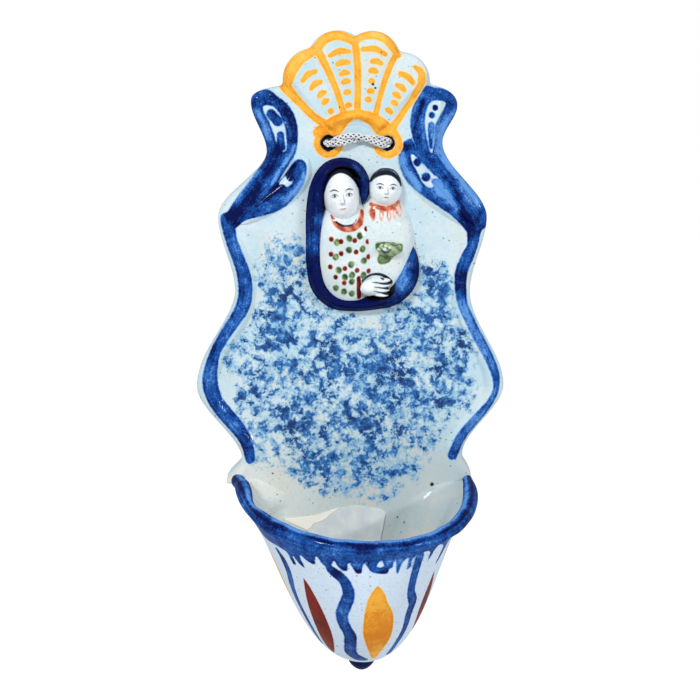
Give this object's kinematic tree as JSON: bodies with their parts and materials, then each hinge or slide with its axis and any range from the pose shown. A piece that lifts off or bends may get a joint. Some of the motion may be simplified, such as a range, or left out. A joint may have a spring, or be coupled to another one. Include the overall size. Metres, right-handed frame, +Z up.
{
  "type": "holy water stoup",
  "caption": "Tin-glazed wall holy water stoup: wavy plaque with a scallop crest, relief figures and a half-round basin, hung by a braided cord.",
  "frame": {"origin": "the hanging point: the nail's axis where it leaves the wall, under the cord's loop", "axes": "+X to the viewer's right, +Y into the wall, +Z up; the wall is y = 0 and the front faces -Y"},
  "size_m": [0.1068, 0.066, 0.2223],
  "materials": {
    "tin_glaze": "glossy",
    "cobalt_glaze": "glossy",
    "ochre_glaze": "glossy",
    "green_glaze": "glossy",
    "cord": "satin",
    "label_paper": "matte"
  },
  "bodies": {
    "root": {"back_plate": "tin_glaze", "basin": "tin_glaze", "shell_crest": "ochre_glaze", "left_upper_leaf": "cobalt_glaze", "right_upper_leaf": "cobalt_glaze", "left_lower_leaf": "cobalt_glaze", "right_lower_leaf": "cobalt_glaze", "left_border_roll": "cobalt_glaze", "right_border_roll": "cobalt_glaze", "basin_rim_roll": "cobalt_glaze", "drop_finial": "cobalt_glaze", "mother_mantle": "cobalt_glaze", "mother_head": "tin_glaze", "mother_gown": "tin_glaze", "mother_hand": "tin_glaze", "child_head": "tin_glaze", "child_tunic": "tin_glaze", "child_sprig": "green_glaze", "hanging_cord": "cord", "cord_knot": "cord", "paper_label": "label_paper"}
  },
  "joints": []
}
